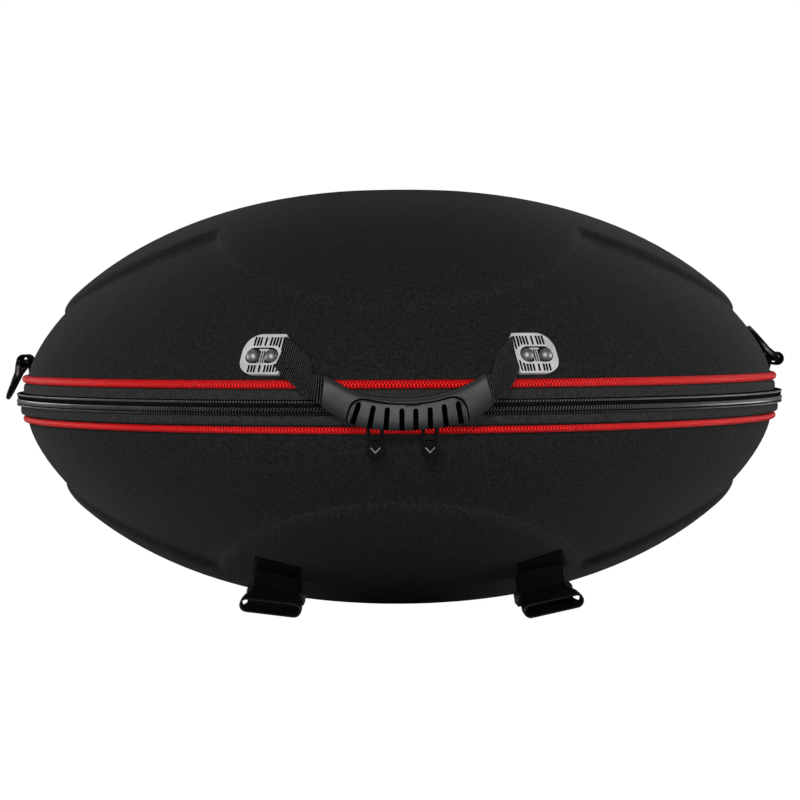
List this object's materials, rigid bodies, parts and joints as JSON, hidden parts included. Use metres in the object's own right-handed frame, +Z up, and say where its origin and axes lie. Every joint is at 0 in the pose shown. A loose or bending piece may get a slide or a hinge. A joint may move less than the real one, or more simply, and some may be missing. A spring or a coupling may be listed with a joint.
{
  "type": "handpan hard case",
  "caption": "Round hard-shell case for a handpan, hinged at the back and zipped round the rim, with a riveted carry handle, D-rings and strap buckles.",
  "frame": {"origin": "centre of the flat round foot under the case, on the floor", "axes": "+Z up, -Y out of the front with the handle and zip pulls, +X to the viewer's right"},
  "size_m": [0.646, 0.6424, 0.3356],
  "materials": {
    "shell_fabric": "fine matt weave over a moulded shell",
    "liner_plush": "short soft pile",
    "cushion_foam": "fabric over foam",
    "red_piping": "braided cord",
    "black_tape": "woven tape",
    "zip_coil": "black coil teeth with bright faces",
    "black_webbing": "ribbed webbing",
    "black_metal": "gloss black",
    "grey_plate": "satin light grey",
    "backing_metal": "plain sheet",
    "grip_rubber": "matt moulded",
    "buckle_plastic": "gloss black"
  },
  "bodies": {
    "base": {"lower_shell": "shell_fabric", "lower_liner": "liner_plush", "lower_rim_cushion": "cushion_foam", "lower_piping": "red_piping", "lower_zip_tape": "black_tape", "lower_zip_coil": "zip_coil", "hinge_strip_lower": "black_webbing", "buckle_tab_front_left": "black_webbing", "buckle_tab_front_right": "black_webbing", "buckle_tab_rear_left": "black_webbing", "buckle_tab_rear_right": "black_webbing"},
    "lid": {"upper_shell": "shell_fabric", "upper_liner": "liner_plush", "upper_rim_cushion": "cushion_foam", "upper_piping": "red_piping", "upper_zip_tape": "black_tape", "upper_zip_coil": "zip_coil", "hinge_strip_upper": "black_webbing", "handle_plate_left": "grey_plate", "handle_anchor_left": "black_webbing", "backing_plate_left": "backing_metal", "rivet_left_outer": "black_metal", "rivet_left_inner": "black_metal", "d_ring_tab_left": "black_webbing", "handle_plate_right": "grey_plate", "handle_anchor_right": "black_webbing", "backing_plate_right": "backing_metal", "rivet_right_outer": "black_metal", "rivet_right_inner": "black_metal", "d_ring_tab_right": "black_webbing"},
    "handle": {"handle_strap": "black_webbing", "handle_grip": "grip_rubber"},
    "d_ring_left": {"d_ring_left": "buckle_plastic"},
    "zip_slider_left": {"zip_slider_left": "black_metal"},
    "zip_pull_left": {"zip_pull_left": "black_metal"},
    "d_ring_right": {"d_ring_right": "buckle_plastic"},
    "zip_slider_right": {"zip_slider_right": "black_metal"},
    "zip_pull_right": {"zip_pull_right": "black_metal"},
    "buckle_front_left": {"buckle_front_left": "buckle_plastic"},
    "buckle_front_right": {"buckle_front_right": "buckle_plastic"},
    "buckle_rear_left": {"buckle_rear_left": "buckle_plastic"},
    "buckle_rear_right": {"buckle_rear_right": "buckle_plastic"}
  },
  "joints": [
    {"name": "lid_hinge", "type": "hinge", "parent": "base", "child": "lid", "pos_m": [0, 0.3099, 0.1665], "axis": [-1, 0, 0], "range_deg": [0, 175]},
    {"name": "handle_swing", "type": "hinge", "parent": "lid", "child": "handle", "pos_m": [0, -0.29246, 0.20212], "axis": [-1, 0, 0], "range_deg": [0, 130]},
    {"name": "d_ring_left_swing", "type": "hinge", "parent": "lid", "child": "d_ring_left", "pos_m": [-0.3125, 0, 0.1955], "axis": [0, 1, 0], "range_deg": [0, 190]},
    {"name": "d_ring_right_swing", "type": "hinge", "parent": "lid", "child": "d_ring_right", "pos_m": [0.3125, 0, 0.1955], "axis": [0, 1, 0], "range_deg": [0, 190]},
    {"name": "zip_slider_left_travel", "type": "hinge", "parent": "base", "child": "zip_slider_left", "pos_m": [0, 0, 0.1665], "axis": [0, 0, 1], "range_deg": [-143, 0]},
    {"name": "zip_slider_right_travel", "type": "hinge", "parent": "base", "child": "zip_slider_right", "pos_m": [0, 0, 0.1665], "axis": [0, 0, 1], "range_deg": [0, 142]},
    {"name": "zip_pull_left_swing", "type": "hinge", "parent": "zip_slider_left", "child": "zip_pull_left", "pos_m": [-0.01652, -0.31527, 0.1665], "axis": [-0.0523, -0.9986, 0], "range_deg": [-80, 18]},
    {"name": "zip_pull_right_swing", "type": "hinge", "parent": "zip_slider_right", "child": "zip_pull_right", "pos_m": [0.02065, -0.31502, 0.1665], "axis": [0.0654, -0.9979, 0], "range_deg": [-18, 80]},
    {"name": "buckle_front_left_swing", "type": "hinge", "parent": "base", "child": "buckle_front_left", "pos_m": [-0.09248, -0.17948, 0.02315], "axis": [-0.9912, 0.0693, 0.1132], "range_deg": [-12, 35]},
    {"name": "buckle_front_right_swing", "type": "hinge", "parent": "base", "child": "buckle_front_right", "pos_m": [0.10601, -0.17954, 0.02326], "axis": [-0.9695, -0.1536, -0.1908], "range_deg": [-12, 35]},
    {"name": "buckle_rear_left_swing", "type": "hinge", "parent": "base", "child": "buckle_rear_left", "pos_m": [-0.09799, 0.1795, 0.02321], "axis": [0.9823, 0.1032, -0.1564], "range_deg": [-12, 35]},
    {"name": "buckle_rear_right_swing", "type": "hinge", "parent": "base", "child": "buckle_rear_right", "pos_m": [0.09799, 0.1795, 0.02321], "axis": [0.9823, -0.1032, 0.1564], "range_deg": [-12, 35]}
  ]
}
